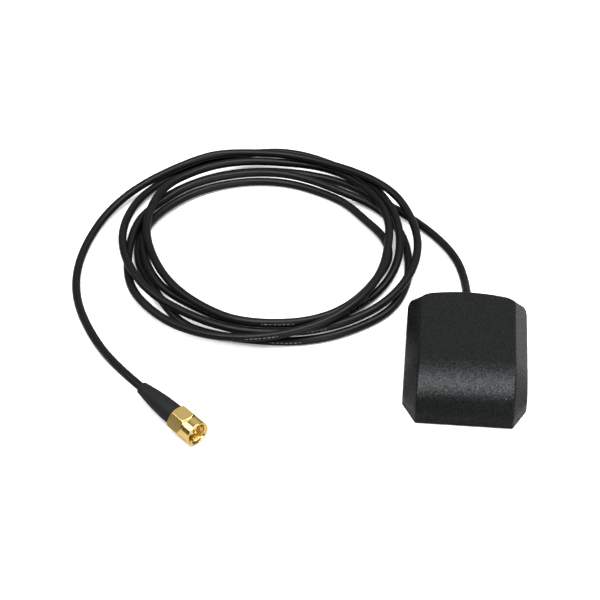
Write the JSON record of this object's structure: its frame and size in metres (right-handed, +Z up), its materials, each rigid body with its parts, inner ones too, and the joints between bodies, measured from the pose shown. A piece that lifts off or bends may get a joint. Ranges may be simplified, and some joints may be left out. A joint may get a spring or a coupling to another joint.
{
  "type": "gnss antenna",
  "caption": "Magnetic satellite-navigation antenna puck with bevelled ends, a coiled coaxial cable, a strain-relief boot and a gold screw-on coaxial plug.",
  "frame": {"origin": "on the housing's centre line and 22.8 mm behind its front, on the face of the foot pad that the magnets hold down", "axes": "+Z up out of the housing's top, +Y towards the side the cable leaves, +X to the right seen from the bevelled front"},
  "size_m": [0.1504, 0.1492, 0.014],
  "materials": {
    "housing": "black ABS with a fine spark-eroded grain",
    "rubber": "matte black rubber",
    "jacket": "smooth black PVC, satin",
    "boot": "matte black moulded boot",
    "gold": "gold-plated brass, polished",
    "clip": "springy beryllium copper",
    "ptfe": "white PTFE",
    "polythene": "milky polythene",
    "seal": "red-brown silicone",
    "copper": "bare copper strand",
    "tin": "tinned metal",
    "steel": "zinc-plated steel",
    "magnet": "nickel-plated magnet",
    "silver": "fired silver film",
    "ceramic": "unglazed fired ceramic",
    "board": "green solder mask",
    "chip": "black epoxy package",
    "tape": "white double-sided foam tape"
  },
  "bodies": {
    "cable": {"cable_jacket_coil": "jacket", "cable_core_coil": "tin"},
    "lead": {"cable_jacket_lead": "jacket", "cable_core_lead": "tin"},
    "antenna": {"foot_pad": "rubber", "base_plate": "housing", "top_cover": "housing", "base_screw_1": "steel", "base_screw_2": "steel", "base_screw_3": "steel", "base_screw_4": "steel", "magnet_front": "magnet", "magnet_back": "magnet", "amplifier_board": "board", "shield_can": "tin", "saw_filter": "tin", "low_noise_amplifier": "chip", "second_stage_amplifier": "chip", "bias_choke": "ceramic", "patch_tape": "tape", "ceramic_patch": "ceramic", "patch_electrode": "silver", "feed_pin": "silver", "cable_grommet": "rubber", "cable_stop_ring": "tin", "cable_jacket_antenna": "jacket", "antenna_braid": "tin", "antenna_dielectric": "polythene", "antenna_conductor": "copper"},
    "tail": {"cable_jacket_tail": "jacket", "cable_core_tail": "tin"},
    "plug": {"cable_jacket_plug": "jacket", "plug_braid": "tin", "plug_dielectric": "polythene", "plug_conductor": "copper", "strain_boot": "boot", "crimp_ferrule": "gold", "connector_body": "gold", "ptfe_insulator": "ptfe", "centre_pin": "gold", "sealing_washer": "seal"},
    "nut_ring": {"retaining_ring": "clip"},
    "nut": {"coupling_nut": "gold"}
  },
  "joints": [
    {"name": "antenna_swing", "type": "hinge", "parent": "cable", "child": "lead", "pos_m": [-0.00243, 0.04858, 0.00237], "axis": [0, 0, 1], "range_deg": [-10, 35]},
    {"name": "antenna_tilt", "type": "hinge", "parent": "lead", "child": "antenna", "pos_m": [0, 0.029, 0.00505], "axis": [-1, 0, 0], "range_deg": [0, 60]},
    {"name": "plug_swing", "type": "hinge", "parent": "cable", "child": "tail", "pos_m": [-0.12065, 0.00808, 0.00182], "axis": [0, 0, 1], "range_deg": [-35, 35]},
    {"name": "plug_tilt", "type": "hinge", "parent": "tail", "child": "plug", "pos_m": [-0.10148, -0.01719, 0.0041], "axis": [-0.682, -0.7314, 0], "range_deg": [0, 60]},
    {"name": "nut_float", "type": "slide", "parent": "plug", "child": "nut_ring", "axis": [0.7314, -0.682, 0], "range_m": [-0.00015, 0.00015]},
    {"name": "nut_spin", "type": "hinge", "parent": "nut_ring", "child": "nut", "pos_m": [-0.09965, -0.0189, 0.0041], "axis": [0.7314, -0.682, 0], "continuous": true}
  ]
}
